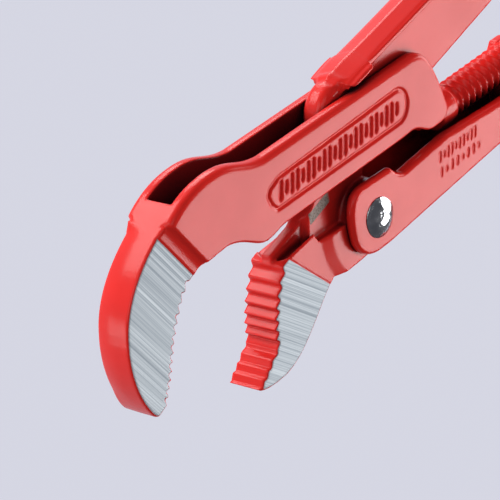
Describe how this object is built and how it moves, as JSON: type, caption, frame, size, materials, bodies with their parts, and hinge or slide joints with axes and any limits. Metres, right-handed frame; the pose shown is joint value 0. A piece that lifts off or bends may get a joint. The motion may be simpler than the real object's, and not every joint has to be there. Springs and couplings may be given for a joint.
{
  "type": "pipe wrench",
  "caption": "S-jaw pipe wrench: toothed hook jaw on a threaded spindle, adjusting nut captive in the lower handle, and a riveted jaw lever whose handle closes the grip.",
  "frame": {"origin": "centre of the gripped pipe, on the wrench's mid-plane", "axes": "+X along the wrench from the jaws to the handle ends, +Y from the lower handle to the upper handle, +Z across the thickness, out of the side with the rivet's domed head"},
  "size_m": [0.245, 0.0822, 0.0172],
  "materials": {
    "red_paint": "glossy powder coat",
    "rivet_steel": "polished",
    "nut_steel": "satin, knurled"
  },
  "bodies": {
    "jaw_lever": {"jaw_lever": "red_paint"},
    "lower_handle": {"lower_handle": "red_paint", "pivot_rivet": "rivet_steel"},
    "hook_jaw": {"hook_jaw": "red_paint", "spindle": "red_paint", "spindle_pin": "red_paint", "stop_pin": "nut_steel"},
    "adjusting_nut": {"adjusting_nut": "nut_steel"}
  },
  "joints": [
    {"name": "handle_swing", "type": "hinge", "parent": "jaw_lever", "child": "lower_handle", "pos_m": [0.0504, 0.0061, 0], "axis": [0, 0, 1], "range_deg": [-6, 4]},
    {"name": "jaw_adjust", "type": "slide", "parent": "lower_handle", "child": "hook_jaw", "axis": [1, 0, 0], "range_m": [-0.007, 0.028]},
    {"name": "nut_spin", "type": "hinge", "parent": "lower_handle", "child": "adjusting_nut", "pos_m": [0.1257, 0.0152, 0], "axis": [1, 0, 0], "continuous": true}
  ],
  "couplings": [
    {"joint": "nut_spin", "follows": "jaw_adjust", "rad_per_m": -2731.8}
  ]
}
